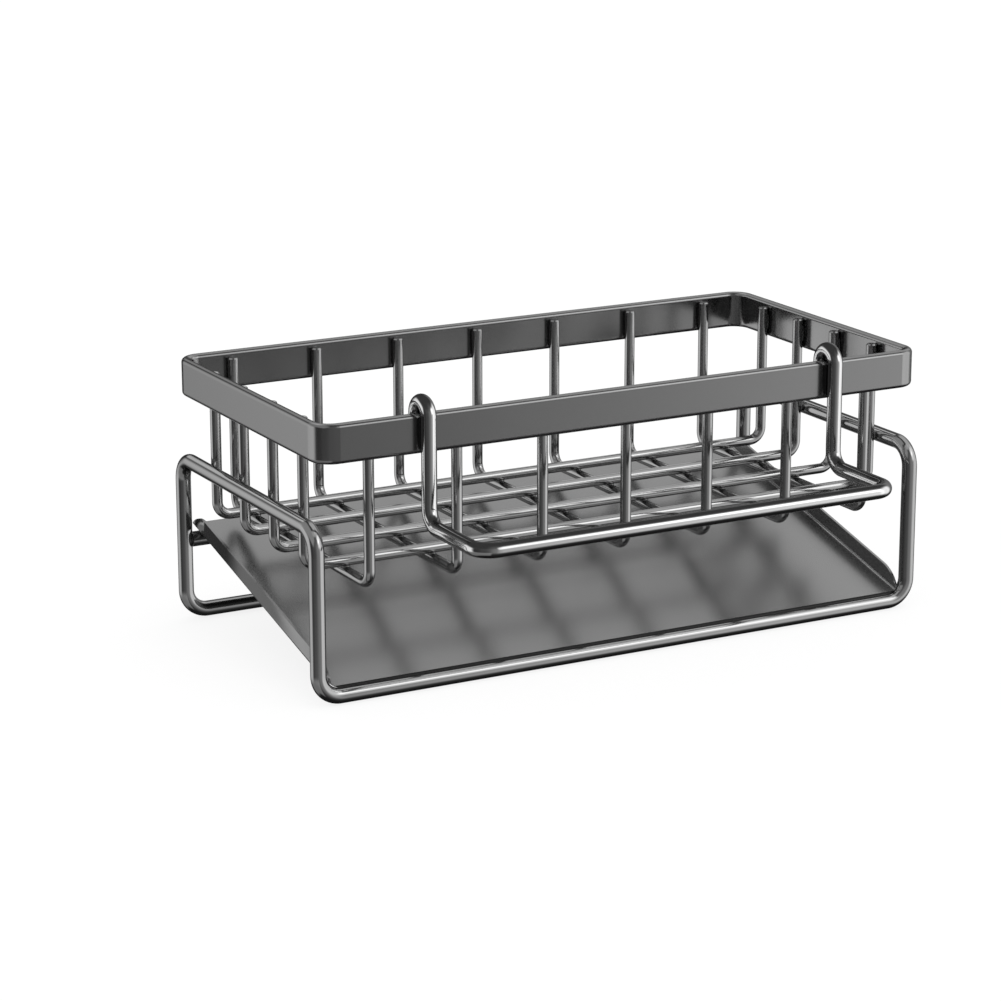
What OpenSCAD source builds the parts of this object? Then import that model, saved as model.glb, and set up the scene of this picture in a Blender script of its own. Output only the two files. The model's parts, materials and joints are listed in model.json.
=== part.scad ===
// Sponge holder of bent wire: an open basket with a flat bar round its rim, carried in a wire stand,
// with a sloping drip tray below it and a towel bar that hooks over the front of the rim.
// Millimetres. X runs along the length, Y to the back and Z up.
// The origin is the middle of the stand's footprint, on the counter.

/* [Stand] */
// Length of the stand, over its wire
stand_l = 230; // [190:1:300]
// Depth of the stand, over its wire
stand_w = 110.6; // [100:0.2:140]
// Height of the stand, over its wire
stand_h = 59.8; // [52:0.2:90]
// Thickness of the stand's wire
stand_wire = 5.2; // [4:0.1:6]
// Radius of the stand's bends, at the middle of the wire
stand_bend_r = 7.6; // [7:0.1:10]
// Room between the basket's floor and the cross bar that carries the tray
cross_bar_room = 4.2; // [3.6:0.1:8]
// Distance of the cross bar in front of the rear legs, middle to middle
cross_bar_inset = 1.7; // [0:0.1:2.4]
// Length of the cross bar's ends past the legs' inner sides, beside the legs
cross_bar_lap = 1; // [0.5:0.1:2]

/* [Rim band] */
// Height of the rim's top above the stand's top
rim_rise = 32.1; // [20:0.1:50]
// Height of the flat bar
rim_h = 13; // [9:0.5:20]
// Thickness of the flat bar, whose edges are fully round
rim_t = 3.1; // [2:0.1:4]
// Radius of the rim's corners, outside
rim_corner_r = 7.6; // [6:0.1:12]

/* [Basket wires] */
// Depth of the basket between the rim's inner faces
basket_w = 106.8; // [96:0.2:136]
// Height of the basket, from the underside of its floor to the top of its rim
basket_h = 56.6; // [45:0.1:60]
// Thickness of the basket's wires
basket_wire = 3.6; // [3:0.1:4.4]
// Radius of the basket wires' bends, at the middle of the wire
basket_bend_r = 4.6; // [3:0.1:8]
// Distance of the wires' ends below the rim's top
wire_end_drop = 2; // [1.5:0.1:5]
// Distance from the end uprights to the nearest cross wire, middle to middle
end_space = 14.5; // [12:0.1:24]
// Distance from the side uprights to the nearest long wire, middle to middle
side_space = 17.3; // [14:0.1:24]
// Chamfer on the cut ends of the wires
wire_chamfer = 0.4; // [0.2:0.1:0.8]

/* [Towel bar] */
// Length of the towel bar, over its wire
towel_l = 157.2; // [138:0.2:172]
// Reach of the towel bar in front of the rim
towel_reach = 39.6; // [28:0.1:60]
// Distance of the rail below the rim's top, to the middle of the wire
towel_drop = 35.7; // [26:0.1:50]
// Thickness of the towel bar's wire
towel_wire = 5; // [4:0.1:6]
// Radius of the towel bar's bends, at the middle of the wire
towel_bend_r = 6; // [5:0.1:9]
// Length of the hooks' inner ends below the rim's top
hook_end_l = 10.9; // [7:0.1:13]
// Room between a hook's sides and the rim's faces
hook_side_gap = 0.3; // [0.2:0.1:1]
// Room between a hook's arch and the rim's top
hook_top_gap = 0.9; // [0.3:0.1:2]

/* [Drip tray] */
// Thickness of the tray's sheet
tray_t = 0.9; // [0.6:0.1:1.2]
// Height of the turned-up sides, square to the floor
tray_side_h = 6.4; // [5:0.1:8]
// Radius of the fold between the floor and a side, outside
tray_bend_r = 1.8; // [1.5:0.1:2.2]
// Radius of the sides' upper corners
tray_corner_r = 12; // [10:0.5:16]
// Room between the tray's sides and the legs
tray_side_gap = 0.85; // [0.7:0.05:1.5]
// Room between the tray and what carries it: the cross bar and the stand's front bends
tray_seat_gap = 0.2; // [0.1:0.05:0.3]
// Height of the tray's underside above the top of the front bar, over the middle of the bar
tray_front_room = 0.2; // [0.1:0.05:0.8]
// Length of the floor past the middle of the front bar, along its slope
tray_front_lap = 0.3; // [0:0.05:1]
// Length of the floor past the middle of the cross bar, along its slope
tray_rear_lap = 4.3; // [2:0.1:5]

/* [Hidden] */
// Gap at a welded contact, so that the two pieces share no volume
weld_gap = 0.02;
// Wires along the length of the basket, and wires across it
long_count = 4;
cross_count = 7;

// Middle of the stand's wire in the legs, in the bottom bars and in the top bars
leg_x = (stand_l - stand_wire) / 2;
leg_y = (stand_w - stand_wire) / 2;
foot_z = stand_wire / 2;
top_z = stand_h - stand_wire / 2;
leg_inner_x = leg_x - stand_wire / 2;

// Heights of the basket
rim_top = stand_h + rim_rise;
wire_end_z = rim_top - wire_end_drop;
basket_bottom = rim_top - basket_h;
cross_z = basket_bottom + basket_wire / 2;
long_z = cross_z + basket_wire + weld_gap;

// Middle of the wires that stand up at the ends and at the sides of the basket
end_upright_x = leg_inner_x - weld_gap - basket_wire / 2;
side_upright_y = basket_w / 2 - weld_gap - basket_wire / 2;
// Places of the wires in the basket's floor
last_cross_x = end_upright_x - end_space;
last_long_y = side_upright_y - side_space;

// Middle of the flat bar in the rim
rim_x = end_upright_x + basket_wire / 2 + weld_gap + rim_t / 2;
rim_y = basket_w / 2 + rim_t / 2;
rim_bend_r = rim_corner_r - rim_t / 2;

// Cross bar at the back of the stand
cross_bar_y = leg_y - cross_bar_inset;
cross_bar_z = basket_bottom - cross_bar_room - stand_wire / 2;

// Towel bar: the arch of its hooks is a half circle over the front of the rim
hook_r = (rim_t + towel_wire) / 2 + hook_side_gap;
hook_outer_y = -rim_y - hook_r;
hook_inner_y = -rim_y + hook_r;
hook_top_z = rim_top + hook_top_gap + towel_wire / 2;
hook_end_z = rim_top - hook_end_l;
towel_x = (towel_l - towel_wire) / 2;
rail_y = -(rim_y + rim_t / 2 + towel_reach - towel_wire / 2);
rail_z = rim_top - towel_drop;

// Drip tray: its front corners lie in the stand's front bends, and its floor lies on the cross bar
tray_half_l = leg_inner_x - tray_side_gap;
tray_front_z = stand_wire + tray_front_room;
seat_run = [leg_y + cross_bar_y, cross_bar_z - tray_front_z];
seat_r = stand_wire / 2 + tray_seat_gap;
tray_slope = atan2(seat_run.y, seat_run.x) + asin(seat_r / norm(seat_run));
tray_w = tray_front_lap + sqrt(pow(norm(seat_run), 2) - pow(seat_r, 2)) + tray_rear_lap;
// Length of the arc at each end of a side's upper edge, which comes down to the floor's top
corner_drop = tray_side_h - tray_t;
corner_run = sqrt(2 * tray_corner_r * corner_drop - pow(corner_drop, 2));

stand_color = "DimGray";
wire_color = "SlateGray";
rim_color = "Gray";
towel_color = "DarkGray";
tray_color = "LightSlateGray";
$fn = 48;

function unit(v) = v / norm(v);

// Straight length of wire of thickness d from point p to point q
module straight(p, q, d) {
    run = q - p;
    translate(p)
        rotate([0, acos(run.z / norm(run)), atan2(run.y, run.x)])
            cylinder(d = d, h = norm(run));
}

// Quarter bend of radius r in a wire, at the corner c of two lengths that leave it along u and v
module bend(c, u, v, r, d) {
    w = cross(v, u);
    middle = c + r * (u + v);
    multmatrix([
        [-v.x, -u.x, w.x, middle.x],
        [-v.y, -u.y, w.y, middle.y],
        [-v.z, -u.z, w.z, middle.z],
        [0, 0, 0, 1]
    ])
        rotate_extrude(angle = 90)
            translate([r, 0])
                circle(d = d);
}

// Chamfered cut end of a wire at point p, where u points out of the wire
module cut_end(p, u, d) {
    translate(p - wire_chamfer * u)
        rotate([0, acos(u.z), atan2(u.y, u.x)])
            cylinder(d1 = d, d2 = d - 2 * wire_chamfer, h = wire_chamfer);
}

// Wire of thickness d along the points of path, with a bend of radii[i] at point i.
// An end whose radius is 0 is a cut end, and a wire whose path closes has none.
module bent_wire(path, radii, d) {
    last = len(path) - 1;
    closed = norm(path[last] - path[0]) == 0;
    for (i = [0 : last - 1]) {
        u = unit(path[i + 1] - path[i]);
        before = i == 0 && !closed ? wire_chamfer : radii[i];
        after = i == last - 1 && !closed ? wire_chamfer : radii[i + 1];
        if (norm(path[i + 1] - path[i]) > before + after + weld_gap)
            straight(path[i] + before * u, path[i + 1] - after * u, d);
    }
    for (i = [1 : last - 1])
        bend(path[i], unit(path[i - 1] - path[i]), unit(path[i + 1] - path[i]), radii[i], d);
    if (!closed) {
        cut_end(path[0], unit(path[0] - path[1]), d);
        cut_end(path[last], unit(path[last] - path[last - 1]), d);
    }
}

// One closed loop of wire: two bars on the counter, four legs and a bar along the top of each side
module stand_frame() {
    r = stand_bend_r;
    color(stand_color)
        bent_wire([
            [0, -leg_y, foot_z],
            [leg_x, -leg_y, foot_z], [leg_x, -leg_y, top_z], [leg_x, leg_y, top_z], [leg_x, leg_y, foot_z],
            [-leg_x, leg_y, foot_z], [-leg_x, leg_y, top_z], [-leg_x, -leg_y, top_z], [-leg_x, -leg_y, foot_z],
            [0, -leg_y, foot_z]
        ], [0, r, r, r, r, r, r, r, r, 0], stand_wire);
}

// Straight bar welded between the rear legs, with its ends coped to fit against them
module rear_cross_bar() {
    end_x = leg_inner_x + cross_bar_lap;
    color(stand_color)
        difference() {
            straight([-end_x, cross_bar_y, cross_bar_z], [end_x, cross_bar_y, cross_bar_z], stand_wire);
            for (x = [-leg_x, leg_x])
                translate([x, leg_y, cross_bar_z - stand_wire])
                    cylinder(d = stand_wire + 2 * weld_gap, h = 2 * stand_wire);
        }
}

// Section of the flat bar, with its middle at the origin
module rim_section() {
    square([rim_t, rim_h - rim_t], center = true);
    for (s = [-1, 1])
        translate([0, s * (rim_h - rim_t) / 2])
            circle(d = rim_t);
}

// Flat bar bent into a rectangle round the tops of the basket wires
module rim_band() {
    corner_x = rim_x - rim_bend_r;
    corner_y = rim_y - rim_bend_r;
    color(rim_color)
        translate([0, 0, rim_top - rim_h / 2]) {
            for (s = [0, 180])
                rotate([0, 0, s]) {
                    translate([rim_x, corner_y, 0])
                        rotate([90, 0, 0])
                            linear_extrude(height = 2 * corner_y)
                                rim_section();
                    translate([corner_x, rim_y, 0])
                        rotate([90, 0, -90])
                            linear_extrude(height = 2 * corner_x)
                                rim_section();
                }
            for (sx = [0, 1])
                for (sy = [0, 1])
                    mirror([sx, 0, 0])
                        mirror([0, sy, 0])
                            translate([corner_x, corner_y, 0])
                                rotate_extrude(angle = 90)
                                    translate([rim_bend_r, 0])
                                        rim_section();
        }
}

// Basket wire number i along the length, counted from the front, lying on the cross wires
module long_wire(i) {
    y = last_long_y * (2 * (i - 1) / (long_count - 1) - 1);
    x = end_upright_x;
    r = basket_bend_r;
    color(wire_color)
        bent_wire([[-x, y, wire_end_z], [-x, y, long_z], [x, y, long_z], [x, y, wire_end_z]],
            [0, r, r, 0], basket_wire);
}

// Basket wire number i across the basket, counted from the left
module cross_wire(i) {
    x = last_cross_x * (2 * (i - 1) / (cross_count - 1) - 1);
    y = side_upright_y;
    r = basket_bend_r;
    color(wire_color)
        bent_wire([[x, -y, wire_end_z], [x, -y, cross_z], [x, y, cross_z], [x, y, wire_end_z]],
            [0, r, r, 0], basket_wire);
}

// One wire bent into two hooks, two arms and the rail between them
module towel_bar() {
    x = towel_x;
    h = hook_r;
    r = towel_bend_r;
    color(towel_color)
        bent_wire([
            [-x, hook_inner_y, hook_end_z], [-x, hook_inner_y, hook_top_z], [-x, hook_outer_y, hook_top_z],
            [-x, hook_outer_y, rail_z], [-x, rail_y, rail_z], [x, rail_y, rail_z], [x, hook_outer_y, rail_z],
            [x, hook_outer_y, hook_top_z], [x, hook_inner_y, hook_top_z], [x, hook_inner_y, hook_end_z]
        ], [0, h, h, r, r, r, r, h, h, 0], towel_wire);
}

// Section of the tray across its length: a floor with a side folded up at each end
module tray_section() {
    translate([tray_bend_r - tray_half_l, 0])
        square([2 * (tray_half_l - tray_bend_r), tray_t]);
    for (s = [0, 1])
        mirror([s, 0]) {
            translate([tray_half_l - tray_t, tray_bend_r])
                square([tray_t, tray_side_h - tray_bend_r]);
            translate([tray_half_l - tray_bend_r, tray_bend_r])
                intersection() {
                    difference() {
                        circle(r = tray_bend_r);
                        circle(r = tray_bend_r - tray_t);
                    }
                    translate([0, -tray_bend_r])
                        square(tray_bend_r);
                }
        }
}

// Outline of the tray seen from the end: the floor, and the sides whose upper edges curve down to it
module tray_side_outline() {
    square([tray_w, tray_t]);
    translate([corner_run, 0])
        square([tray_w - 2 * corner_run, tray_side_h]);
    for (s = [0, 1])
        translate([s * tray_w, 0])
            mirror([s, 0])
                intersection() {
                    translate([corner_run, tray_side_h - tray_corner_r])
                        circle(r = tray_corner_r);
                    square([corner_run, tray_side_h]);
                }
}

// Opening between the front legs that the tray is pulled out through, less its room at the bends.
// Its lower corners follow the bends.
module tray_passage() {
    r = stand_bend_r - stand_wire / 2 - tray_seat_gap;
    corner_x = leg_x - stand_bend_r;
    corner_z = foot_z + stand_bend_r;
    rotate([90, 0, 0])
        linear_extrude(height = 2 * stand_w, center = true) {
            translate([-corner_x - r, corner_z])
                square([2 * (corner_x + r), stand_h]);
            translate([-corner_x, corner_z - r])
                square([2 * corner_x, stand_h]);
            for (x = [-corner_x, corner_x])
                translate([x, corner_z])
                    circle(r = r);
        }
}

// Folded sheet that drains to the front, lying in the stand's front bends and on the cross bar
module drip_tray() {
    color(tray_color)
        intersection() {
            translate([0, -leg_y, tray_front_z])
                rotate([tray_slope, 0, 0])
                    translate([0, -tray_front_lap, 0])
                        intersection() {
                            translate([0, tray_w, 0])
                                rotate([90, 0, 0])
                                    linear_extrude(height = tray_w)
                                        tray_section();
                            translate([-tray_half_l, 0, 0])
                                rotate([90, 0, 90])
                                    linear_extrude(height = 2 * tray_half_l)
                                        tray_side_outline();
                        }
            tray_passage();
        }
}

stand_frame();
rear_cross_bar();
rim_band();
for (i = [1 : long_count])
    long_wire(i);
for (i = [1 : cross_count])
    cross_wire(i);
towel_bar();
drip_tray();
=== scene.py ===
"""Sponge holder of bent wire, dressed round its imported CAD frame.

The wires are swept along their paths by one Geometry Nodes tree and the welds are placed by another.
The rim's flat bar and the tray's cross bar are the CAD's own, and the tray is a copy with eased edges.
"""

import json
import math

import bmesh
import bpy
from mathutils import Matrix, Vector

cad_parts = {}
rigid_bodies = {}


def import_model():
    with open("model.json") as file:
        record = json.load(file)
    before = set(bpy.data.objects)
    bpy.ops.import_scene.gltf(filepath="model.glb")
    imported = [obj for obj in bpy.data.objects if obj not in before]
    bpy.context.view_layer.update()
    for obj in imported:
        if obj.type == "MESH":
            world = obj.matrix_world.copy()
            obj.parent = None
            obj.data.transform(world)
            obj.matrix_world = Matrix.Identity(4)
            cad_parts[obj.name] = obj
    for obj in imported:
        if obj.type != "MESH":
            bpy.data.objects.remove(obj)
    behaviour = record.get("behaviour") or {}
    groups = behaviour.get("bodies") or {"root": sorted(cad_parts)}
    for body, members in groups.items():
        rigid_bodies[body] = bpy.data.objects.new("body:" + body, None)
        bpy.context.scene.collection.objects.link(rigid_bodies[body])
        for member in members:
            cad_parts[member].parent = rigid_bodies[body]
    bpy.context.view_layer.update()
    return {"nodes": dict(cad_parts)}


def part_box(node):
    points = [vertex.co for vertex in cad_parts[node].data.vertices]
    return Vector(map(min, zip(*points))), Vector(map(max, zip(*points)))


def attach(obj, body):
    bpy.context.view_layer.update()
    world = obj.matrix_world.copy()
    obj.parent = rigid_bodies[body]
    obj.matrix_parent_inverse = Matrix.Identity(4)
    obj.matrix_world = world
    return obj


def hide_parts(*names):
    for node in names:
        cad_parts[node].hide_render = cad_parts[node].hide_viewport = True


for leftover in list(bpy.data.objects):
    bpy.data.objects.remove(leftover)

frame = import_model()
nodes = frame["nodes"]
scene = bpy.context.scene
scene.view_settings.view_transform = "Standard"

MM = 0.001

# Wires, as in the CAD: thickness, and radius of the bends at the middle of the wire
STAND_WIRE, STAND_BEND = 5.2 * MM, 7.6 * MM
BASKET_WIRE, BASKET_BEND = 3.6 * MM, 4.6 * MM
TOWEL_WIRE, TOWEL_BEND = 5.0 * MM, 6.0 * MM
CUT_CHAMFER = 0.4 * MM
HOOK_BEND = 4.35 * MM
# Height of the towel bar's two cut ends
HOOK_END_Z = 81.0 * MM
WIRE_SIDES = 40
BEND_STEPS = 14
# Straight wire keeps its own rings this far from a bend, so that the bend doesn't shade it
RING_STEP = 0.5 * MM
# A closed loop's path starts and ends this far from its first corner
LOOP_GAP = 0.05 * MM
# An edge of the wire's mesh that turns more than this is a sharp one
SHARP_ANGLE = math.radians(30)
# Points of a mesh that lie closer than this are one point
DOUBLES = 1e-6

LONG_WIRES = ["long_wire_%d" % i for i in range(1, 5)]
CROSS_WIRES = ["cross_wire_%d" % i for i in range(1, 8)]


# Node helpers

def add_node(tree, kind, name, values=None, **settings):
    """A node with its settings and the values of its named inputs."""
    node = tree.nodes.new(kind)
    node.name = name
    node.label = name
    for key, value in settings.items():
        setattr(node, key, value)
    for key, value in (values or {}).items():
        node.inputs[key].default_value = value
    return node


def add_socket(tree, name, kind, default=None, out=False):
    """A named input, or output, of a node group."""
    socket = tree.interface.new_socket(name, in_out="OUTPUT" if out else "INPUT", socket_type=kind)
    if default is not None:
        socket.default_value = default
    return socket


def arrange(tree):
    """Lays the nodes out in columns, each to the right of what feeds it."""
    column = {node: 0 for node in tree.nodes}
    for _ in tree.nodes:
        for link in tree.links:
            column[link.to_node] = max(column[link.to_node], column[link.from_node] + 1)
    used = {}
    for node in tree.nodes:
        row = used.get(column[node], 0)
        node.location = (column[node] * 240, -row * 260)
        used[column[node]] = row + 1


# Geometry Nodes: a bent wire

def bent_wire_tree():
    """Rounds a polyline's corners to each point's bend_radius and sweeps a circle along it.
    A point's girth is the wire's thickness there, as a share of Thickness."""
    tree = bpy.data.node_groups.new("bent wire", "GeometryNodeTree")
    add_socket(tree, "Path", "NodeSocketGeometry")
    add_socket(tree, "Thickness", "NodeSocketFloat", BASKET_WIRE)
    add_socket(tree, "Sides", "NodeSocketInt", WIRE_SIDES)
    add_socket(tree, "Bend Steps", "NodeSocketInt", BEND_STEPS)
    add_socket(tree, "Sharp Angle", "NodeSocketFloat", SHARP_ANGLE)
    add_socket(tree, "Finish", "NodeSocketMaterial")
    add_socket(tree, "Wire", "NodeSocketGeometry", out=True)
    link = tree.links.new
    given = add_node(tree, "NodeGroupInput", "sizes")
    result = add_node(tree, "NodeGroupOutput", "result")

    line = add_node(tree, "GeometryNodeMeshToCurve", "path as a curve")
    radius = add_node(tree, "GeometryNodeInputNamedAttribute", "bend radius", {"Name": "bend_radius"},
                      data_type="FLOAT")
    girth = add_node(tree, "GeometryNodeInputNamedAttribute", "girth", {"Name": "girth"}, data_type="FLOAT")
    bends = add_node(tree, "GeometryNodeFilletCurve", "bends", {"Limit Radius": False}, mode="POLY")
    link(given.outputs["Path"], line.inputs["Mesh"])
    link(line.outputs["Curve"], bends.inputs["Curve"])
    link(given.outputs["Bend Steps"], bends.inputs["Count"])
    link(radius.outputs["Attribute"], bends.inputs["Radius"])

    # The length run from the wire's start, for the grain of its finish
    run = add_node(tree, "GeometryNodeSplineParameter", "run")
    keep_run = add_node(tree, "GeometryNodeStoreNamedAttribute", "keep run", {"Name": "run"},
                        data_type="FLOAT", domain="POINT")
    link(bends.outputs["Curve"], keep_run.inputs["Geometry"])
    link(run.outputs["Length"], keep_run.inputs["Value"])

    # The section, which keeps its own coordinates for the grain too
    half = add_node(tree, "ShaderNodeMath", "half thickness", {1: 0.5}, operation="MULTIPLY")
    circle = add_node(tree, "GeometryNodeCurvePrimitiveCircle", "section", mode="RADIUS")
    place = add_node(tree, "GeometryNodeInputPosition", "place in section")
    keep_section = add_node(tree, "GeometryNodeStoreNamedAttribute", "keep section", {"Name": "section"},
                            data_type="FLOAT_VECTOR", domain="POINT")
    link(given.outputs["Thickness"], half.inputs[0])
    link(half.outputs[0], circle.inputs["Radius"])
    link(given.outputs["Sides"], circle.inputs["Resolution"])
    link(circle.outputs["Curve"], keep_section.inputs["Geometry"])
    link(place.outputs[0], keep_section.inputs["Value"])

    sweep = add_node(tree, "GeometryNodeCurveToMesh", "sweep", {"Fill Caps": True})
    join = add_node(tree, "GeometryNodeMergeByDistance", "join doubles", {"Distance": DOUBLES})
    link(keep_run.outputs["Geometry"], sweep.inputs["Curve"])
    link(keep_section.outputs["Geometry"], sweep.inputs["Profile Curve"])
    link(girth.outputs["Attribute"], sweep.inputs["Scale"])
    link(sweep.outputs["Mesh"], join.inputs["Geometry"])

    # Smooth round the wire, sharp at its cut ends
    smooth = add_node(tree, "GeometryNodeSetShadeSmooth", "smooth faces", domain="FACE")
    corner = add_node(tree, "GeometryNodeInputMeshEdgeAngle", "edge angle")
    is_sharp = add_node(tree, "FunctionNodeCompare", "is sharp", data_type="FLOAT", operation="GREATER_THAN")
    sharp = add_node(tree, "GeometryNodeSetShadeSmooth", "sharp edges", {"Shade Smooth": False},
                     domain="EDGE")
    real = add_node(tree, "GeometryNodeRealizeInstances", "real mesh")
    finish = add_node(tree, "GeometryNodeSetMaterial", "finish")
    link(join.outputs["Geometry"], smooth.inputs["Geometry"])
    link(corner.outputs["Unsigned Angle"], is_sharp.inputs["A"])
    link(given.outputs["Sharp Angle"], is_sharp.inputs["B"])
    link(smooth.outputs["Geometry"], sharp.inputs["Geometry"])
    link(is_sharp.outputs["Result"], sharp.inputs["Selection"])
    link(sharp.outputs["Geometry"], real.inputs["Geometry"])
    link(real.outputs["Geometry"], finish.inputs["Geometry"])
    link(given.outputs["Finish"], finish.inputs["Material"])
    link(finish.outputs["Geometry"], result.inputs["Wire"])
    arrange(tree)
    return tree


# Geometry Nodes: spot welds

def weld_tree():
    """Sets a small lens of weld metal on each point, with the point's half_size, and roughens it a little."""
    tree = bpy.data.node_groups.new("spot welds", "GeometryNodeTree")
    add_socket(tree, "Places", "NodeSocketGeometry")
    add_socket(tree, "Segments", "NodeSocketInt", 20)
    add_socket(tree, "Rings", "NodeSocketInt", 12)
    add_socket(tree, "Size Spread", "NodeSocketFloat", 0.1)
    add_socket(tree, "Roughening", "NodeSocketFloat", 0.08 * MM)
    add_socket(tree, "Seed", "NodeSocketInt", 7)
    add_socket(tree, "Finish", "NodeSocketMaterial")
    add_socket(tree, "Welds", "NodeSocketGeometry", out=True)
    link = tree.links.new
    given = add_node(tree, "NodeGroupInput", "sizes")
    result = add_node(tree, "NodeGroupOutput", "result")

    points = add_node(tree, "GeometryNodeMeshToPoints", "places", mode="VERTICES")
    lens = add_node(tree, "GeometryNodeMeshUVSphere", "lens", {"Radius": 1.0})
    half = add_node(tree, "GeometryNodeInputNamedAttribute", "half size", {"Name": "half_size"},
                    data_type="FLOAT_VECTOR")
    least = add_node(tree, "ShaderNodeMath", "least", {0: 1.0}, operation="SUBTRACT")
    most = add_node(tree, "ShaderNodeMath", "most", {0: 1.0}, operation="ADD")
    vary = add_node(tree, "FunctionNodeRandomValue", "vary", data_type="FLOAT")
    size = add_node(tree, "ShaderNodeVectorMath", "size", operation="SCALE")
    place = add_node(tree, "GeometryNodeInstanceOnPoints", "lens on each place")
    link(given.outputs["Places"], points.inputs["Mesh"])
    link(given.outputs["Segments"], lens.inputs["Segments"])
    link(given.outputs["Rings"], lens.inputs["Rings"])
    link(given.outputs["Size Spread"], least.inputs[1])
    link(given.outputs["Size Spread"], most.inputs[1])
    link(least.outputs[0], vary.inputs[2])
    link(most.outputs[0], vary.inputs[3])
    link(given.outputs["Seed"], vary.inputs["Seed"])
    link(half.outputs["Attribute"], size.inputs[0])
    link(vary.outputs[1], size.inputs["Scale"])
    link(points.outputs["Points"], place.inputs["Points"])
    link(lens.outputs["Mesh"], place.inputs["Instance"])
    link(size.outputs["Vector"], place.inputs["Scale"])

    real = add_node(tree, "GeometryNodeRealizeInstances", "real mesh")
    where = add_node(tree, "GeometryNodeInputPosition", "where")
    ripple = add_node(tree, "ShaderNodeTexNoise", "ripple", {"Scale": 900.0, "Detail": 1.0})
    centred = add_node(tree, "ShaderNodeVectorMath", "centred", {1: (0.5, 0.5, 0.5)}, operation="SUBTRACT")
    offset = add_node(tree, "ShaderNodeVectorMath", "offset", operation="SCALE")
    move = add_node(tree, "GeometryNodeSetPosition", "roughen")
    smooth = add_node(tree, "GeometryNodeSetShadeSmooth", "smooth", domain="FACE")
    finish = add_node(tree, "GeometryNodeSetMaterial", "finish")
    link(place.outputs["Instances"], real.inputs["Geometry"])
    link(where.outputs[0], ripple.inputs["Vector"])
    link(ripple.outputs["Color"], centred.inputs[0])
    link(centred.outputs["Vector"], offset.inputs[0])
    link(given.outputs["Roughening"], offset.inputs["Scale"])
    link(real.outputs["Geometry"], move.inputs["Geometry"])
    link(offset.outputs["Vector"], move.inputs["Offset"])
    link(move.outputs["Geometry"], smooth.inputs["Geometry"])
    link(smooth.outputs["Geometry"], finish.inputs["Geometry"])
    link(given.outputs["Finish"], finish.inputs["Material"])
    link(finish.outputs["Geometry"], result.inputs["Welds"])
    arrange(tree)
    return tree


def grow(name, base_mesh, tree, inputs):
    """Runs a tree on a base mesh and returns the result as a plain mesh object."""
    base = bpy.data.objects.new(name + "_base", base_mesh)
    scene.collection.objects.link(base)
    modifier = base.modifiers.new("grow", "NODES")
    modifier.node_group = tree
    sockets = {s.name: s.identifier for s in tree.interface.items_tree if s.in_out == "INPUT"}
    for key, value in inputs.items():
        modifier[sockets[key]] = value
    bpy.context.view_layer.update()
    evaluated = base.evaluated_get(bpy.context.evaluated_depsgraph_get())
    mesh = bpy.data.meshes.new_from_object(evaluated)
    mesh.name = name
    base.modifiers.remove(modifier)
    bpy.data.objects.remove(base)
    piece = bpy.data.objects.new(name, mesh)
    scene.collection.objects.link(piece)
    return piece


# Shader groups that the finishes share

def plating_tone_group():
    """Slow clouds of tone and gloss over a plated surface."""
    tree = bpy.data.node_groups.new("plating tone", "ShaderNodeTree")
    add_socket(tree, "Place", "NodeSocketVector")
    add_socket(tree, "Colour", "NodeSocketColor", (0.35, 0.35, 0.35, 1.0))
    add_socket(tree, "Cloud Scale", "NodeSocketFloat", 40.0)
    add_socket(tree, "Tone Spread", "NodeSocketFloat", 0.06)
    add_socket(tree, "Roughness", "NodeSocketFloat", 0.15)
    add_socket(tree, "Roughness Spread", "NodeSocketFloat", 0.03)
    add_socket(tree, "Colour", "NodeSocketColor", out=True)
    add_socket(tree, "Roughness", "NodeSocketFloat", out=True)
    link = tree.links.new
    given = add_node(tree, "NodeGroupInput", "given")
    result = add_node(tree, "NodeGroupOutput", "result")
    clouds = add_node(tree, "ShaderNodeTexNoise", "clouds", {"Detail": 4.0, "Roughness": 0.55})
    centred = add_node(tree, "ShaderNodeMath", "centred", {1: 0.5}, operation="SUBTRACT")
    tone = add_node(tree, "ShaderNodeMath", "tone", {2: 1.0}, operation="MULTIPLY_ADD")
    colour = add_node(tree, "ShaderNodeVectorMath", "tinted", operation="SCALE")
    gloss = add_node(tree, "ShaderNodeMath", "gloss", operation="MULTIPLY_ADD")
    link(given.outputs["Place"], clouds.inputs["Vector"])
    link(given.outputs["Cloud Scale"], clouds.inputs["Scale"])
    link(clouds.outputs["Fac"], centred.inputs[0])
    link(centred.outputs[0], tone.inputs[0])
    link(given.outputs["Tone Spread"], tone.inputs[1])
    link(given.outputs["Colour"], colour.inputs[0])
    link(tone.outputs[0], colour.inputs["Scale"])
    link(centred.outputs[0], gloss.inputs[0])
    link(given.outputs["Roughness Spread"], gloss.inputs[1])
    link(given.outputs["Roughness"], gloss.inputs[2])
    link(colour.outputs["Vector"], result.inputs["Colour"])
    link(gloss.outputs[0], result.inputs["Roughness"])
    arrange(tree)
    return tree


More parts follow.
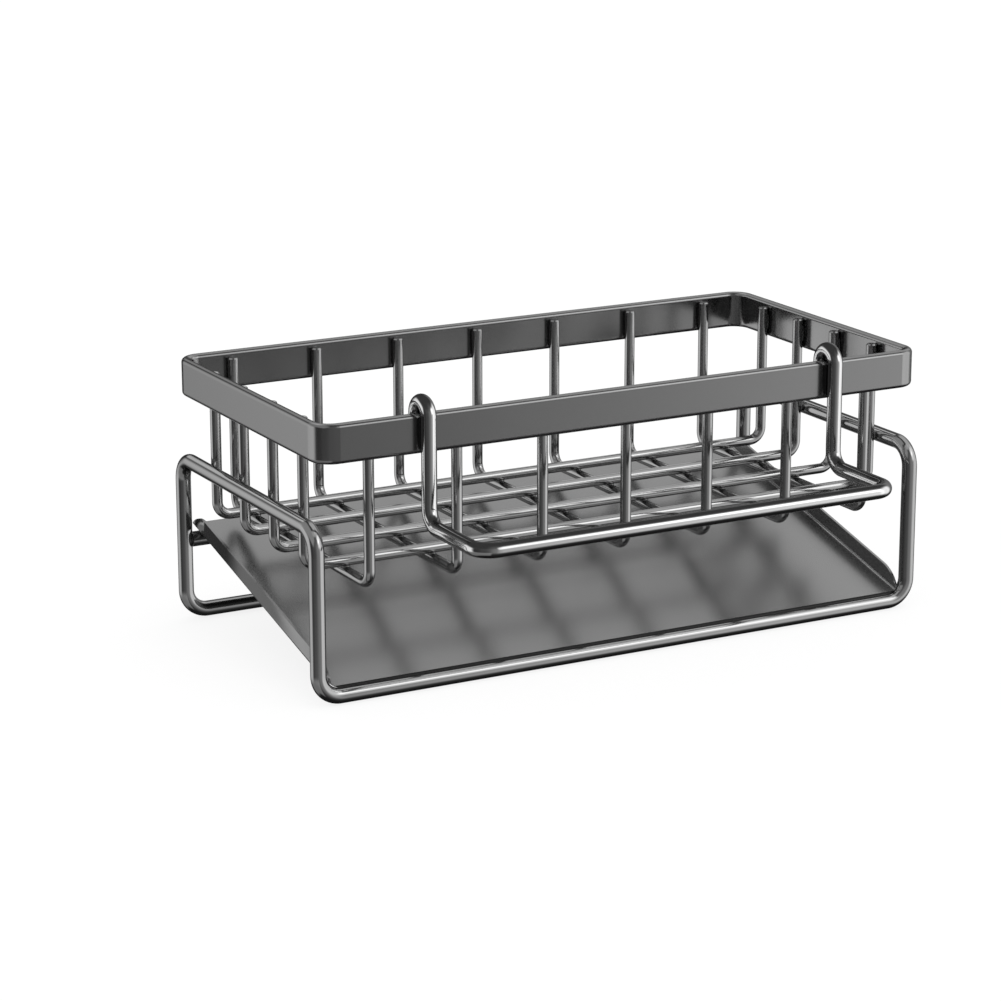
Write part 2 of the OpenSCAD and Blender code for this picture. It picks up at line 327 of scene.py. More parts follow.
def fine_grain_group():
    """Fine lines with specks between them, as a height for a bump. Stretch scales Place in Z: below 1 the
    lines run along Z, at 1 they run no way in particular, and above 1 they run across Z."""
    tree = bpy.data.node_groups.new("fine grain", "ShaderNodeTree")
    add_socket(tree, "Place", "NodeSocketVector")
    add_socket(tree, "Lines Per Metre", "NodeSocketFloat", 4000.0)
    add_socket(tree, "Stretch", "NodeSocketFloat", 0.02)
    add_socket(tree, "Speck Share", "NodeSocketFloat", 0.3)
    add_socket(tree, "Height", "NodeSocketFloat", out=True)
    link = tree.links.new
    given = add_node(tree, "NodeGroupInput", "given")
    result = add_node(tree, "NodeGroupOutput", "result")
    along = add_node(tree, "ShaderNodeCombineXYZ", "stretch along Z", {"X": 1.0, "Y": 1.0})
    stretched = add_node(tree, "ShaderNodeVectorMath", "stretched", operation="MULTIPLY")
    lines = add_node(tree, "ShaderNodeTexNoise", "lines", {"Detail": 2.0, "Roughness": 0.6})
    specks = add_node(tree, "ShaderNodeTexNoise", "specks", {"Detail": 1.0})
    both = add_node(tree, "ShaderNodeMix", "lines and specks", data_type="FLOAT")
    link(given.outputs["Stretch"], along.inputs["Z"])
    link(given.outputs["Place"], stretched.inputs[0])
    link(along.outputs["Vector"], stretched.inputs[1])
    link(stretched.outputs["Vector"], lines.inputs["Vector"])
    link(given.outputs["Lines Per Metre"], lines.inputs["Scale"])
    link(given.outputs["Place"], specks.inputs["Vector"])
    link(given.outputs["Lines Per Metre"], specks.inputs["Scale"])
    link(given.outputs["Speck Share"], both.inputs[0])
    link(lines.outputs["Fac"], both.inputs[2])
    link(specks.outputs["Fac"], both.inputs[3])
    link(both.outputs[0], result.inputs["Height"])
    arrange(tree)
    return tree


PLATING_TONE = plating_tone_group()
FINE_GRAIN = fine_grain_group()


def new_material(name):
    """An empty node material with its surface output."""
    material = bpy.data.materials.new(name)
    material.use_nodes = True
    material.node_tree.nodes.clear()
    output = add_node(material.node_tree, "ShaderNodeOutputMaterial", "surface")
    return material, material.node_tree, output


def group_node(tree, group, name, values):
    """A placed shader group with its own values."""
    node = add_node(tree, "ShaderNodeGroup", name, node_tree=group)
    for key, value in values.items():
        node.inputs[key].default_value = value
    return node


def grey(value):
    """A grey as a colour with its alpha."""
    return (value, value, value, 1.0)


# Edge tint of the plating, which reflects less where it is seen at a grazing angle
EDGE_TONE = grey(0.5)


def nickel(name, tone, grain, bump, place):
    """Dark nickel plating. place(tree) gives the socket that the grain's place comes from."""
    material, tree, output = new_material(name)
    link = tree.links.new
    shader = add_node(tree, "ShaderNodeBsdfPrincipled", "plating",
                      {"Metallic": 1.0, "Specular Tint": EDGE_TONE})
    where = add_node(tree, "ShaderNodeTexCoord", "object place")
    clouds = group_node(tree, PLATING_TONE, "plating tone", tone)
    lines = group_node(tree, FINE_GRAIN, "fine grain", grain)
    relief = add_node(tree, "ShaderNodeBump", "relief", bump)
    link(where.outputs["Object"], clouds.inputs["Place"])
    link(place(tree, where), lines.inputs["Place"])
    link(lines.outputs["Height"], relief.inputs["Height"])
    link(relief.outputs["Normal"], shader.inputs["Normal"])
    link(clouds.outputs["Colour"], shader.inputs["Base Color"])
    link(clouds.outputs["Roughness"], shader.inputs["Roughness"])
    link(shader.outputs[0], output.inputs["Surface"])
    arrange(tree)
    return material


def place_along_wire(tree, where):
    """X and Y across the wire's section and Z along its run."""
    section = add_node(tree, "ShaderNodeAttribute", "section", attribute_name="section")
    run = add_node(tree, "ShaderNodeAttribute", "run", attribute_name="run")
    apart = add_node(tree, "ShaderNodeSeparateXYZ", "section apart")
    joined = add_node(tree, "ShaderNodeCombineXYZ", "place along wire")
    tree.links.new(section.outputs["Vector"], apart.inputs[0])
    tree.links.new(apart.outputs["X"], joined.inputs["X"])
    tree.links.new(apart.outputs["Y"], joined.inputs["Y"])
    tree.links.new(run.outputs["Fac"], joined.inputs["Z"])
    return joined.outputs["Vector"]


def place_turned(rotation):
    """A place(tree, where) for nickel(): object coordinates, turned by rotation."""
    def place(tree, where):
        turn = add_node(tree, "ShaderNodeMapping", "turned", {"Rotation": rotation})
        tree.links.new(where.outputs["Object"], turn.inputs["Vector"])
        return turn.outputs["Vector"]
    return place


# Turns of the place that the grain is read at. The first brings the object's X to the grain's Z
GRAIN_TO_X = (0.0, math.radians(90), 0.0)
UNTURNED = (0.0, 0.0, 0.0)

wire_grain = {"Lines Per Metre": 5000.0, "Stretch": 0.01, "Speck Share": 0.15}
wire_bump = {"Strength": 0.12, "Distance": 0.02 * MM}
satin_bump = {"Strength": 0.1, "Distance": 0.03 * MM}
stand_finish = nickel(
    "nickel_stand_wire",
    {"Colour": grey(0.36), "Cloud Scale": 60.0, "Tone Spread": 0.08, "Roughness": 0.11,
     "Roughness Spread": 0.04},
    wire_grain, wire_bump, place_along_wire)
basket_finish = nickel(
    "nickel_basket_wire",
    {"Colour": grey(0.37), "Cloud Scale": 70.0, "Tone Spread": 0.08, "Roughness": 0.12,
     "Roughness Spread": 0.04},
    {"Lines Per Metre": 6000.0, "Stretch": 0.01, "Speck Share": 0.15},
    wire_bump, place_along_wire)
towel_finish = nickel(
    "nickel_towel_wire",
    {"Colour": grey(0.37), "Cloud Scale": 60.0, "Tone Spread": 0.08, "Roughness": 0.11,
     "Roughness Spread": 0.04},
    wire_grain, wire_bump, place_along_wire)
bar_finish = nickel(
    "nickel_cross_bar",
    {"Colour": grey(0.34), "Cloud Scale": 60.0, "Tone Spread": 0.08, "Roughness": 0.14,
     "Roughness Spread": 0.04},
    wire_grain, wire_bump, place_turned(GRAIN_TO_X))
rim_finish = nickel(
    "satin_nickel_rim",
    {"Colour": grey(0.28), "Cloud Scale": 30.0, "Tone Spread": 0.06, "Roughness": 0.17,
     "Roughness Spread": 0.05},
    {"Lines Per Metre": 5000.0, "Stretch": 50.0, "Speck Share": 0.3},
    satin_bump, place_turned(UNTURNED))
tray_finish = nickel(
    "satin_nickel_tray",
    {"Colour": grey(0.33), "Cloud Scale": 25.0, "Tone Spread": 0.06, "Roughness": 0.26,
     "Roughness Spread": 0.05},
    {"Lines Per Metre": 4000.0, "Stretch": 0.03, "Speck Share": 0.5},
    satin_bump, place_turned(GRAIN_TO_X))
# Painted shade: a near-black finish for the tray's front cut face, standing in for the shadow in the gap
# between the tray and the front bar
front_edge_painted_shade = nickel(
    "cut_edge_painted_shade",
    {"Colour": grey(0.07), "Cloud Scale": 200.0, "Tone Spread": 0.1, "Roughness": 0.35,
     "Roughness Spread": 0.05},
    {"Lines Per Metre": 5000.0, "Stretch": 1.0, "Speck Share": 0.5},
    satin_bump, place_turned(UNTURNED))
weld_finish = nickel(
    "nickel_weld",
    {"Colour": grey(0.30), "Cloud Scale": 300.0, "Tone Spread": 0.2, "Roughness": 0.28,
     "Roughness Spread": 0.1},
    {"Lines Per Metre": 3000.0, "Stretch": 1.0, "Speck Share": 1.0},
    {"Strength": 0.2, "Distance": 0.05 * MM}, place_turned(UNTURNED))


# Wires

def ringed_path(corners, radii, thickness):
    """The path's points with their bend radius and girth. Extra points keep the straight lengths straight,
    and an open wire ends in a chamfer."""
    closed = (corners[0] - corners[-1]).length < DOUBLES
    last = len(corners) - 1
    end_girth = (thickness - 2 * CUT_CHAMFER) / thickness
    rows = []
    for i, point in enumerate(corners):
        if i in (0, last):
            towards = (corners[1] if i == 0 else corners[last - 1]) - point
            towards.normalize()
            if closed:
                # The loop starts and ends in the middle of a straight bar
                rows.append((point + towards * LOOP_GAP, 0.0, 1.0))
            else:
                tip = (point, 0.0, end_girth)
                shoulder = (point + towards * CUT_CHAMFER, 0.0, 1.0)
                rows.extend([tip, shoulder] if i == 0 else [shoulder, tip])
            continue
        for side, other in ((-1, corners[i - 1]), (1, corners[i + 1])):
            run = other - point
            reach = radii[i] + RING_STEP
            taken = radii[i + side] + RING_STEP
            ring = (point + run.normalized() * reach, 0.0, 1.0)
            if side == 1:
                rows.append((point, radii[i], 1.0))
            if run.length > reach + taken:
                rows.append(ring)
    return rows, closed


WIRE_TREE = bent_wire_tree()


def bent_wire(node, corners, radii, thickness, finish, body):
    """A swept wire in the place of its CAD node."""
    rows, closed = ringed_path([Vector(c) for c in corners], radii, thickness)
    edges = [(i, i + 1) for i in range(len(rows) - 1)]
    if closed:
        edges.append((len(rows) - 1, 0))
    mesh = bpy.data.meshes.new(node + "_path")
    mesh.from_pydata([row[0] for row in rows], edges, [])
    mesh.attributes.new("bend_radius", "FLOAT", "POINT").data.foreach_set("value", [row[1] for row in rows])
    mesh.attributes.new("girth", "FLOAT", "POINT").data.foreach_set("value", [row[2] for row in rows])
    piece = grow(node + "_wire", mesh, WIRE_TREE, {
        "Thickness": thickness, "Sides": WIRE_SIDES, "Bend Steps": BEND_STEPS,
        "Sharp Angle": SHARP_ANGLE, "Finish": finish})
    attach(piece, body)
    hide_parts(node)
    return piece


def make_stand():
    """The stand's closed loop, from the middle of its rear bottom bar round to the same place."""
    low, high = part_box("stand_frame")
    half = STAND_WIRE / 2
    x, y = high.x - half, high.y - half
    foot, top = low.z + half, high.z - half
    r = STAND_BEND
    corners = [(0, y, foot), (-x, y, foot), (-x, y, top), (-x, -y, top), (-x, -y, foot),
               (x, -y, foot), (x, -y, top), (x, y, top), (x, y, foot), (0, y, foot)]
    radii = [0] + [r] * 8 + [0]
    return bent_wire("stand_frame", corners, radii, STAND_WIRE, stand_finish, "rack")


def make_basket_wires():
    """The U-shaped wires, each in its CAD box: four along the basket and seven across it."""
    half = BASKET_WIRE / 2
    r = BASKET_BEND
    pieces = []
    for node in LONG_WIRES + CROSS_WIRES:
        low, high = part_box(node)
        middle = (low + high) / 2
        run = Vector((high.x - half, 0, 0)) if node in LONG_WIRES else Vector((0, high.y - half, 0))
        across = Vector((0, middle.y, 0)) if node in LONG_WIRES else Vector((middle.x, 0, 0))
        floor, top = Vector((0, 0, low.z + half)), Vector((0, 0, high.z))
        corners = [across - run + top, across - run + floor, across + run + floor, across + run + top]
        radii = [0, r, r, 0]
        pieces.append(bent_wire(node, corners, radii, BASKET_WIRE, basket_finish, "rack"))
    return pieces


def make_towel_bar():
    """The loose towel bar: hook, arm and half the rail on the left, and their mirror image on the right."""
    low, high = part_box("towel_bar")
    half = TOWEL_WIRE / 2
    x, top = high.x - half, high.z - half
    inner, rail_y, rail_z = high.y - half, low.y + half, low.z + half
    outer = inner - 2 * HOOK_BEND
    left = [(-x, inner, HOOK_END_Z), (-x, inner, top), (-x, outer, top), (-x, outer, rail_z),
            (-x, rail_y, rail_z)]
    right = [(-cx, cy, cz) for cx, cy, cz in reversed(left)]
    radii = [0, HOOK_BEND, HOOK_BEND, TOWEL_BEND, TOWEL_BEND]
    return bent_wire("towel_bar", left + right, radii + radii[::-1], TOWEL_WIRE, towel_finish,
                     "towel_bar")


# Drip tray

# Faces that turn less than this from one to the next are merged into one
FLAT_ANGLE = math.radians(0.5)
# The front cut is what lies within this depth of the tray's foremost point
FRONT_CUT_DEPTH = 1.2 * MM
# Its cut face is one whose normal has a Y below this
FRONT_FACING = -0.7
EASED_WIDTH = 0.1 * MM
# The turns past which an edge is eased, and past which it is shaded sharp
EASED_ANGLE, SHADED_SHARP_ANGLE = math.radians(40), math.radians(32)


def make_tray():
    """The CAD's folded sheet as one closed mesh, with its cut edges eased."""
    mesh = nodes["drip_tray"].data.copy()
    mesh.name = "drip_tray_sheet"
    built = bmesh.new()
    built.from_mesh(mesh)
    bmesh.ops.remove_doubles(built, verts=built.verts, dist=DOUBLES)
    bmesh.ops.dissolve_limit(built, angle_limit=FLAT_ANGLE, verts=built.verts, edges=built.edges)
    # Every sharp edge is eased but the front's. The front's cut face gets a near-black finish, which is
    # painted shade for the dark gap where the tray's front edge meets the front bar
    ease_share = built.edges.layers.float.new("bevel_weight_edge")
    front_y = min(vertex.co.y for vertex in built.verts) + FRONT_CUT_DEPTH
    for face in built.faces:
        # Faces of the front cut take the second, near-black finish, which is painted shade
        face.material_index = int(face.normal.y < FRONT_FACING and face.calc_center_median().y < front_y)
    for edge in built.edges:
        sharp = edge.is_manifold and edge.calc_face_angle() > EASED_ANGLE
        at_front = all(vertex.co.y < front_y for vertex in edge.verts)
        edge[ease_share] = 1.0 if sharp and not at_front else 0.0
    built.to_mesh(mesh)
    built.free()
    for name in ("custom_normal", "sharp_face", "sharp_edge"):
        if name in mesh.attributes:
            mesh.attributes.remove(mesh.attributes[name])
    while len(mesh.materials) < 2:
        mesh.materials.append(None)
    mesh.materials[0], mesh.materials[1] = tray_finish, front_edge_painted_shade
    mesh.shade_smooth()
    mesh.set_sharp_from_angle(angle=SHADED_SHARP_ANGLE)
    piece = bpy.data.objects.new("drip_tray_sheet", mesh)
    scene.collection.objects.link(piece)
    ease = piece.modifiers.new("eased edges", "BEVEL")
    ease.width = EASED_WIDTH
    ease.segments = 3
    ease.limit_method = "WEIGHT"
    # The large flat faces keep their own shading up to the folds
    flat = piece.modifiers.new("flat faces", "WEIGHTED_NORMAL")
    flat.keep_sharp = True
    flat.weight = 100
    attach(piece, "drip_tray")
    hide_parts("drip_tray")
    return piece


# Spot welds

# Half sizes of the beads in X, Y and Z. A bead on the rim is given by its half sizes out from the rim,
# along it and up it
CROSSING_BEAD = (1.25 * MM, 1.25 * MM, 0.5 * MM)
RIM_BEAD_DEPTH, RIM_BEAD_WIDTH, RIM_BEAD_HEIGHT = 0.35 * MM, 0.9 * MM, 3.6 * MM
SIDE_BAR_BEAD = (0.5 * MM, 1.3 * MM, 1.5 * MM)
LEG_BEAD = (0.6 * MM, 2.0 * MM, 2.3 * MM)
# The legs' beads sit this far inside the cross bar's ends
LEG_BEAD_INSET = 0.4 * MM


def make_welds():
    """Small beads of weld metal over the gaps that stand for the welds in the CAD."""
    places, sizes = [], []
    rim_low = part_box("rim_band")[0]
    stand_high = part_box("stand_frame")[1]
    bar_low, bar_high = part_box("rear_cross_bar")
    long_boxes = [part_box(node) for node in LONG_WIRES]
    cross_boxes = [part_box(node) for node in CROSS_WIRES]
    weld_z = (rim_low.z + cross_boxes[0][1].z) / 2
    side_bar_z = stand_high.z - STAND_WIRE / 2
    # Each long wire on each cross wire
    for long_low, long_high in long_boxes:
        for cross_low, cross_high in cross_boxes:
            places.append(((cross_low.x + cross_high.x) / 2, (long_low.y + long_high.y) / 2, long_low.z))
            sizes.append(CROSSING_BEAD)
    for side in (-1, 1):
        # Ends of the long wires on the rim and on the stand's side bars
        for long_low, long_high in long_boxes:
            y = (long_low.y + long_high.y) / 2
            places.append((side * long_high.x, y, weld_z))
            sizes.append((RIM_BEAD_DEPTH, RIM_BEAD_WIDTH, RIM_BEAD_HEIGHT))
            places.append((side * long_high.x, y, side_bar_z))
            sizes.append(SIDE_BAR_BEAD)
        # Ends of the cross wires on the rim
        for cross_low, cross_high in cross_boxes:
            places.append(((cross_low.x + cross_high.x) / 2, side * cross_high.y, weld_z))
            sizes.append((RIM_BEAD_WIDTH, RIM_BEAD_DEPTH, RIM_BEAD_HEIGHT))
        # Ends of the cross bar on the rear legs
        bar_middle = (bar_low + bar_high) / 2
        places.append((side * (bar_high.x - LEG_BEAD_INSET), bar_middle.y, bar_middle.z))
        sizes.append(LEG_BEAD)
    mesh = bpy.data.meshes.new("weld_places")
    mesh.from_pydata(places, [], [])
    flat = [value for size in sizes for value in size]
    mesh.attributes.new("half_size", "FLOAT_VECTOR", "POINT").data.foreach_set("vector", flat)
    piece = grow("spot_welds", mesh, weld_tree(), {
        "Segments": 20, "Rings": 12, "Size Spread": 0.08, "Roughening": 0.1 * MM, "Seed": 7,
        "Finish": weld_finish})
    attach(piece, "rack")
    return piece


def refinish(node, material):
    """A new finish on a CAD node that stays as it is."""
    for slot in nodes[node].material_slots:
        slot.material = material


stand = make_stand()
basket_wires = make_basket_wires()
towel_bar = make_towel_bar()
tray = make_tray()
welds = make_welds()
refinish("rim_band", rim_finish)
refinish("rear_cross_bar", bar_finish)


# Camera, at the photograph's place

# Fitted to edges measured in the photograph. Angles in degrees, distance in metres, focal length in pixels
CAMERA_AZIMUTH, CAMERA_ELEVATION, CAMERA_ROLL = -28.406, 15.459, -0.068
CAMERA_DISTANCE = 1.10731
CAMERA_FOCAL = 3246.72
PICTURE_SIDE = 1001
TARGET, TARGET_PIXEL = Vector((0, 0, 0.05)), (548.617, 471.805)


def make_camera():
    """A pinhole camera, placed so that TARGET falls on TARGET_PIXEL."""
    azimuth, elevation, roll = (math.radians(v) for v in (CAMERA_AZIMUTH, CAMERA_ELEVATION, CAMERA_ROLL))
    back = Vector((math.sin(azimuth) * math.cos(elevation), -math.cos(azimuth) * math.cos(elevation),
                   math.sin(elevation)))
    level = Vector((0, 0, 1)).cross(back).normalized()
    upright = back.cross(level)
    right = math.cos(roll) * level + math.sin(roll) * upright
    up = math.cos(roll) * upright - math.sin(roll) * level
    middle = PICTURE_SIDE / 2
    across = (TARGET_PIXEL[0] - middle) / CAMERA_FOCAL
    down = (TARGET_PIXEL[1] - middle) / CAMERA_FOCAL
    eye = TARGET - CAMERA_DISTANCE * (across * right - down * up - back)
    data = bpy.data.cameras.new("camera")
    data.sensor_width = 36.0
    data.lens = CAMERA_FOCAL * data.sensor_width / PICTURE_SIDE
    data.clip_start, data.clip_end = 0.05, 50.0
    camera = bpy.data.objects.new("camera", data)
    turned = Matrix((right, up, back)).transposed()
    camera.matrix_world = Matrix.Translation(eye) @ turned.to_4x4()
    scene.collection.objects.link(camera)
    scene.camera = camera


make_camera()


# Studio

def soft_card_group():
    """A soft-edged card of light round a direction. Angles are in degrees, azimuth 0 is the front."""
    tree = bpy.data.node_groups.new("soft card", "ShaderNodeTree")
    for name, default in (("Azimuth", 0.0), ("Elevation", 0.0), ("Card Azimuth", 0.0),
                          ("Card Elevation", 0.0), ("Half Width", 30.0), ("Half Height", 30.0),
                          ("Softness", 20.0), ("Strength", 1.0)):
        add_socket(tree, name, "NodeSocketFloat", default)
    add_socket(tree, "Light", "NodeSocketFloat", out=True)
    link = tree.links.new
    given = add_node(tree, "NodeGroupInput", "given")
    result = add_node(tree, "NodeGroupOutput", "result")
    sides = []
    for angle, middle, half, wraps in (("Azimuth", "Card Azimuth", "Half Width", True),
                                       ("Elevation", "Card Elevation", "Half Height", False)):
        away = add_node(tree, "ShaderNodeMath", angle + " away", operation="SUBTRACT")
        link(given.outputs[angle], away.inputs[0])
        link(given.outputs[middle], away.inputs[1])
        if wraps:
            turned = add_node(tree, "ShaderNodeMath", "shortest turn", {1: 180.0, 2: -180.0},
                              operation="WRAP")
            link(away.outputs[0], turned.inputs[0])
            away = turned
        size = add_node(tree, "ShaderNodeMath", angle + " size", operation="ABSOLUTE")
        past = add_node(tree, "ShaderNodeMath", angle + " past the card", operation="SUBTRACT")
        link(away.outputs[0], size.inputs[0])
        link(size.outputs[0], past.inputs[0])
        link(given.outputs[half], past.inputs[1])
        fade = add_node(tree, "ShaderNodeMapRange", angle + " fade", {"To Min": 1.0, "To Max": 0.0},
                        interpolation_type="SMOOTHERSTEP")
        fade.inputs["From Min"].default_value = 0.0
        link(past.outputs[0], fade.inputs["Value"])
        link(given.outputs["Softness"], fade.inputs["From Max"])
        sides.append(fade)
    both = add_node(tree, "ShaderNodeMath", "card", operation="MULTIPLY")
    light = add_node(tree, "ShaderNodeMath", "light", operation="MULTIPLY")
    link(sides[0].outputs["Result"], both.inputs[0])
    link(sides[1].outputs["Result"], both.inputs[1])
    link(both.outputs[0], light.inputs[0])
    link(given.outputs["Strength"], light.inputs[1])
    link(light.outputs[0], result.inputs["Light"])
    arrange(tree)
    return tree


# What all plating reflects: a card's azimuth, elevation, half width, half height, softness and strength.
# Cards and panels were tuned until the render's tones came close to the photograph's
CARDS = {
    "key": (30, 28, 6, 4.5, 17, 1.05),
    "right panel": (62, 6, 12, 20, 30, 1.2),
    "far right panel": (112, 8, 20, 14, 28, 0.4),
    "front panel": (12, 6, 4, 20, 62, 0.15),
    "back left panel": (-132, -3, 18, 9, 24, 1.05),
    "ceiling": (0, 90, 180, 30, 62, 0.06),
    "horizon": (0, 0, 180, 20, 30, 0.05),
    "front left panel": (-42, 0, 10, 20, 28, 0.05),
    "low left panel": (-80, -42, 55, 12, 16, 0.35),
    "back low panel": (153, -18, 18, 9, 14, 0.6),
}
# Light from every direction, under the cards
EVERYWHERE = 0.025

# What chosen pieces reflect besides: a panel's azimuth, elevation, half width, half height, share of each
# half that is evenly bright, strength, and the pieces that it lights
WIRES = [stand, nodes["rear_cross_bar"]] + basket_wires
PANELS = {
    "key boost": (38, 41, 22, 17, 0.3, 1.35, WIRES),
    "wire fill": (12, 0, 45, 45, 0.1, 0.20, WIRES + [towel_bar]),
    "bar fill": (28, -10, 12, 26, 0.2, 0.18, WIRES),
    "high panel": (100, 58, 42, 33, 0.4, 0.8, WIRES),
    "back high panel": (178, 32, 22, 14, 0.35, 1.25, [stand]),
    "bend panel": (-5, 68, 24, 17, 0.3, 0.6, [stand]),
    "left sky": (-102, 50, 56, 34, 0.5, 0.42, WIRES + [tray, nodes["rim_band"], welds]),
    "tip panel": (152, 16, 20, 17, 0.4, 1.5, basket_wires),
    "tray panel": (148, 52, 44, 40, 0.6, 0.72, [tray, nodes["rim_band"], welds]),
    "towel fill": (32, -5, 32, 38, 0.3, 0.40, [towel_bar]),
    "towel key": (30, 28, 22, 20, 0.28, 0.85, [towel_bar]),
    "towel right panel": (62, 6, 40, 42, 0.35, 0.95, [towel_bar]),
    "towel back left panel": (-132, -3, 40, 32, 0.45, 0.85, [towel_bar]),
}
# Metres from the holder's middle
PANEL_DISTANCE = 2.5


def make_world():
    """White for the camera and for the floor. The plating sees soft cards in a dark studio."""
    world = bpy.data.worlds.new("studio")
    scene.world = world
    world.use_nodes = True
    tree = world.node_tree
    tree.nodes.clear()
    link = tree.links.new
    output = add_node(tree, "ShaderNodeOutputWorld", "world")
    where = add_node(tree, "ShaderNodeTexCoord", "direction")
    apart = add_node(tree, "ShaderNodeSeparateXYZ", "direction apart")
    front = add_node(tree, "ShaderNodeMath", "to the front", {1: -1.0}, operation="MULTIPLY")
    turn = add_node(tree, "ShaderNodeMath", "azimuth", operation="ARCTAN2")
    azimuth = add_node(tree, "ShaderNodeMath", "azimuth in degrees", operation="DEGREES")
    rise = add_node(tree, "ShaderNodeMath", "elevation", operation="ARCSINE")
    elevation = add_node(tree, "ShaderNodeMath", "elevation in degrees", operation="DEGREES")
    link(where.outputs["Generated"], apart.inputs[0])
    link(apart.outputs["Y"], front.inputs[0])
    link(apart.outputs["X"], turn.inputs[0])
    link(front.outputs[0], turn.inputs[1])
    link(turn.outputs[0], azimuth.inputs[0])
    link(apart.outputs["Z"], rise.inputs[0])
    link(rise.outputs[0], elevation.inputs[0])
    card_group = soft_card_group()
    total = add_node(tree, "ShaderNodeValue", "everywhere")
    total.outputs[0].default_value = EVERYWHERE
    for name, (card_azimuth, card_elevation, half_width, half_height, softness, strength) in CARDS.items():
        card = group_node(tree, card_group, name, {
            "Card Azimuth": card_azimuth, "Card Elevation": card_elevation, "Half Width": half_width,
            "Half Height": half_height, "Softness": softness, "Strength": strength})
        link(azimuth.outputs[0], card.inputs["Azimuth"])
        link(elevation.outputs[0], card.inputs["Elevation"])
        added = add_node(tree, "ShaderNodeMath", "with " + name, operation="ADD")
        link(card.outputs["Light"], added.inputs[0])
        link(total.outputs[0], added.inputs[1])
        total = added
    studio = add_node(tree, "ShaderNodeBackground", "studio for the plating", {"Color": grey(1.0)})
    white = add_node(tree, "ShaderNodeBackground", "plain white", {"Color": grey(1.0), "Strength": 1.0})
    path = add_node(tree, "ShaderNodeLightPath", "kind of ray")
    mix = add_node(tree, "ShaderNodeMixShader", "by kind of ray")
    link(total.outputs[0], studio.inputs["Strength"])
    link(path.outputs["Is Glossy Ray"], mix.inputs["Fac"])
    link(white.outputs[0], mix.inputs[1])
    link(studio.outputs[0], mix.inputs[2])
    link(mix.outputs[0], output.inputs["Surface"])
    arrange(tree)


FLOOR_HALF = 4.0
FLOOR_DROP = 0.05 * MM
# Part of the floor's white that light and shadow make. The rest is a glow that only the camera sees
FLOOR_SHARE = 0.18
FLOOR_WHITE = 1.02


def make_floor():
    """Pale floor. Camera rays see most of its white as it is, so that the holder's shadow stays faint."""
    mesh = bpy.data.meshes.new("floor")
    s, z = FLOOR_HALF, -FLOOR_DROP
    mesh.from_pydata([(-s, -s, z), (s, -s, z), (s, s, z), (-s, s, z)], [], [(0, 1, 2, 3)])
    material, tree, output = new_material("pale_floor")
    link = tree.links.new
    matt = add_node(tree, "ShaderNodeBsdfDiffuse", "matt", {"Color": grey(FLOOR_SHARE)})
    glow = add_node(tree, "ShaderNodeEmission", "white", {"Color": grey(1.0)})
    path = add_node(tree, "ShaderNodeLightPath", "kind of ray")
    level = add_node(tree, "ShaderNodeMath", "level", {1: FLOOR_WHITE - FLOOR_SHARE}, operation="MULTIPLY")
    both = add_node(tree, "ShaderNodeAddShader", "floor")
    link(path.outputs["Is Camera Ray"], level.inputs[0])
    link(level.outputs[0], glow.inputs["Strength"])
    link(matt.outputs[0], both.inputs[0])
    link(glow.outputs[0], both.inputs[1])
    link(both.outputs[0], output.inputs["Surface"])
    arrange(tree)
    mesh.materials.append(material)
    floor = bpy.data.objects.new("floor", mesh)
    scene.collection.objects.link(floor)
    # The plating sees the studio below the horizon too
    floor.visible_glossy = False


def aim(name, data, place, target):
    """A lamp at a place, pointing at a target. The picture doesn't show the lamp itself."""
    lamp = bpy.data.objects.new(name, data)
    turn = (place - target).to_track_quat("Z", "Y")
    lamp.matrix_world = Matrix.Translation(place) @ turn.to_matrix().to_4x4()
    scene.collection.objects.link(lamp)
    lamp.visible_camera = False
    return lamp


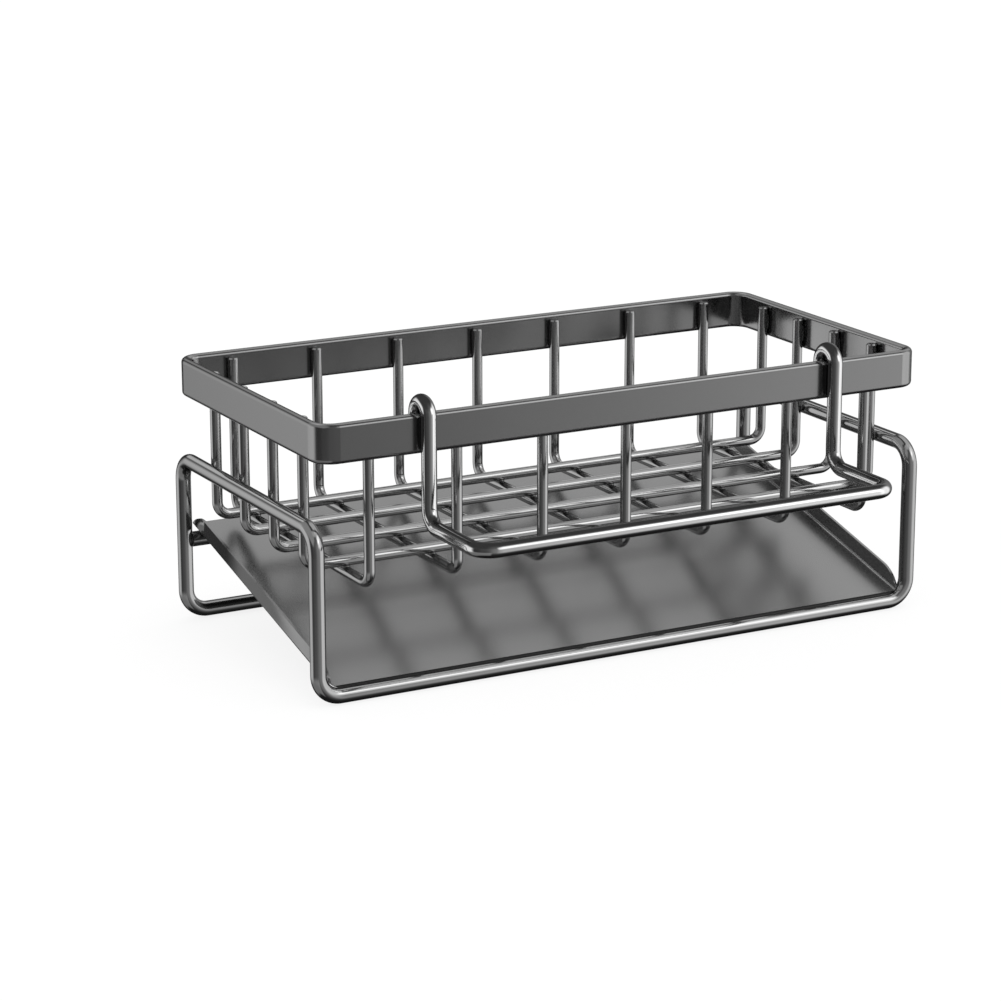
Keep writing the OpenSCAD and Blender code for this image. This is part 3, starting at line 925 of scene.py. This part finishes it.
def make_panels():
    """Large soft panels, each of which lights a few pieces only. Their brightness fades towards the edges."""
    for name, (azimuth, elevation, half_width, half_height, flat, strength, pieces) in PANELS.items():
        a, e = math.radians(azimuth), math.radians(elevation)
        towards = Vector((math.sin(a) * math.cos(e), -math.cos(a) * math.cos(e), math.sin(e)))
        data = bpy.data.lights.new(name, "AREA")
        data.shape = "RECTANGLE"
        data.size = 2 * PANEL_DISTANCE * math.tan(math.radians(half_width))
        data.size_y = 2 * PANEL_DISTANCE * math.tan(math.radians(half_height))
        # A panel of strength 1 is as bright as white
        data.energy = math.pi * data.size * data.size_y * strength
        data.use_nodes = True
        tree = data.node_tree
        tree.nodes.clear()
        link = tree.links.new
        output = add_node(tree, "ShaderNodeOutputLight", "lamp")
        glow = add_node(tree, "ShaderNodeEmission", "glow")
        where = add_node(tree, "ShaderNodeNewGeometry", "place on the panel")
        apart = add_node(tree, "ShaderNodeSeparateXYZ", "place apart")
        both = add_node(tree, "ShaderNodeMath", "panel", operation="MULTIPLY")
        link(where.outputs["Parametric"], apart.inputs[0])
        for i, axis in enumerate("XY"):
            away = add_node(tree, "ShaderNodeMath", axis + " from the middle", {1: 0.5}, operation="SUBTRACT")
            size = add_node(tree, "ShaderNodeMath", axis + " distance", operation="ABSOLUTE")
            fade = add_node(tree, "ShaderNodeMapRange", axis + " fade", {
                "From Min": flat / 2, "From Max": 0.5, "To Min": 1.0, "To Max": 0.0},
                interpolation_type="SMOOTHERSTEP")
            link(apart.outputs[axis], away.inputs[0])
            link(away.outputs[0], size.inputs[0])
            link(size.outputs[0], fade.inputs["Value"])
            link(fade.outputs["Result"], both.inputs[i])
        link(both.outputs[0], glow.inputs["Strength"])
        link(glow.outputs[0], output.inputs["Surface"])
        arrange(tree)
        lamp = aim(name, data, TARGET + towards * PANEL_DISTANCE, TARGET)
        lit = bpy.data.collections.new("lit by the " + name)
        for piece in pieces:
            lit.objects.link(piece)
        lamp.light_linking.receiver_collection = lit


LAMP_SIDE, LAMP_POWER = 1.2, 2.0
LAMP_PLACE = Vector((0.5, -0.5, 1.4))


def make_lamp():
    """A large soft lamp overhead, for the floor's shadow. In the plating the cards stand for it."""
    data = bpy.data.lights.new("soft_lamp", "AREA")
    data.shape = "SQUARE"
    data.size = LAMP_SIDE
    data.energy = LAMP_POWER
    lamp = aim("soft_lamp", data, LAMP_PLACE, Vector((0, 0, 0)))
    lamp.visible_glossy = False


make_world()
make_floor()
make_panels()
make_lamp()
